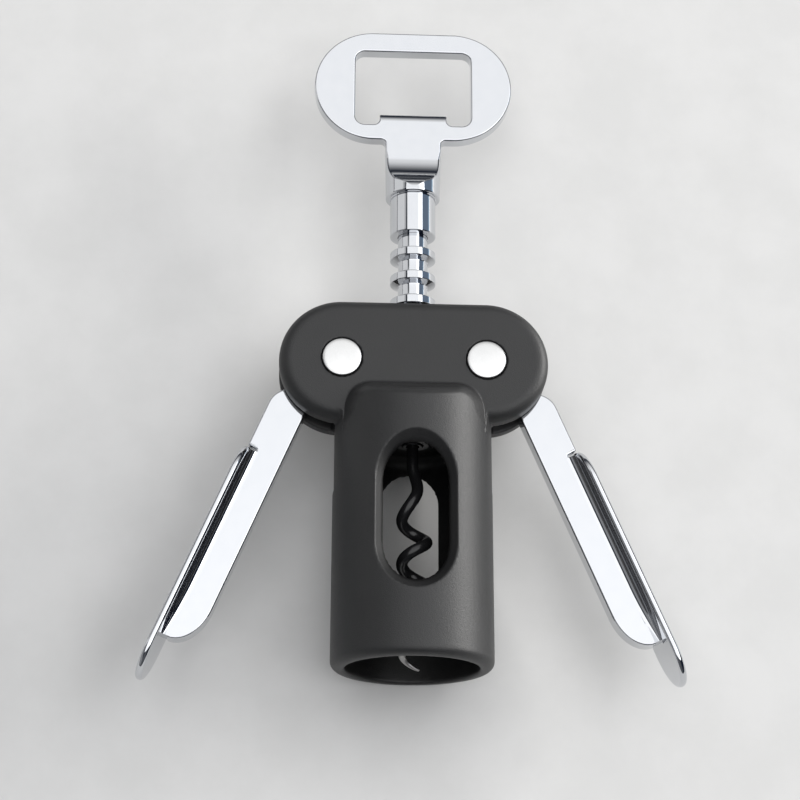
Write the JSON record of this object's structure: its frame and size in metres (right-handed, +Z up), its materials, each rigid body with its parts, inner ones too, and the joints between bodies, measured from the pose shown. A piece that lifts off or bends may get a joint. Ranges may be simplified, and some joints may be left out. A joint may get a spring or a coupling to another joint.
{
  "type": "double-lever corkscrew",
  "caption": "Winged corkscrew: toothed levers raise a ringed rack sleeve in a moulded bell housing; the opener handle turns the worm.",
  "frame": {"origin": "on the surface that the tool lies on, under the middle of its outline", "axes": "+Y along the worm's axis from the bell's mouth to the handle, +Z up, out of the front face, +X to the right"},
  "size_m": [0.1266, 0.1672, 0.038],
  "materials": {
    "black_plastic": "fine moulded grain",
    "chrome_casting": "polished chrome on a die casting",
    "chrome_turned": "polished chrome on turned steel",
    "satin_steel": "satin, slightly domed",
    "plain_steel": "plain turned steel",
    "black_coating": "glossy non-stick coating"
  },
  "bodies": {
    "housing": {"housing": "black_plastic", "pivot_pin_left": "satin_steel", "pivot_pin_right": "satin_steel", "pivot_cap_left": "satin_steel", "pivot_cap_right": "satin_steel"},
    "lever_left": {"lever_left": "chrome_casting"},
    "lever_right": {"lever_right": "chrome_casting"},
    "rack": {"rack_sleeve": "chrome_turned"},
    "handle": {"handle": "chrome_casting", "spindle": "plain_steel", "retaining_washer": "plain_steel", "worm": "black_coating", "worm_cross_pin": "plain_steel"}
  },
  "joints": [
    {"name": "lever_left_raise", "type": "hinge", "parent": "housing", "child": "lever_left", "pos_m": [-0.01724, -0.00723, 0.019], "axis": [0, 0, -1], "range_deg": [-23.1, 127]},
    {"name": "lever_right_raise", "type": "hinge", "parent": "housing", "child": "lever_right", "pos_m": [0.01724, -0.00723, 0.019], "axis": [0, 0, 1], "range_deg": [-23.2, 127.1]},
    {"name": "rack_travel", "type": "slide", "parent": "housing", "child": "rack", "axis": [0, 1, 0], "range_m": [-0.02805, 0.00512]},
    {"name": "handle_spin", "type": "hinge", "parent": "rack", "child": "handle", "pos_m": [0, 0, 0.019], "axis": [0, 1, 0], "continuous": true}
  ],
  "couplings": [
    {"joint": "lever_right_raise", "follows": "lever_left_raise", "ratio": 1},
    {"joint": "rack_travel", "follows": "lever_left_raise", "m_per_rad": -0.01264}
  ]
}
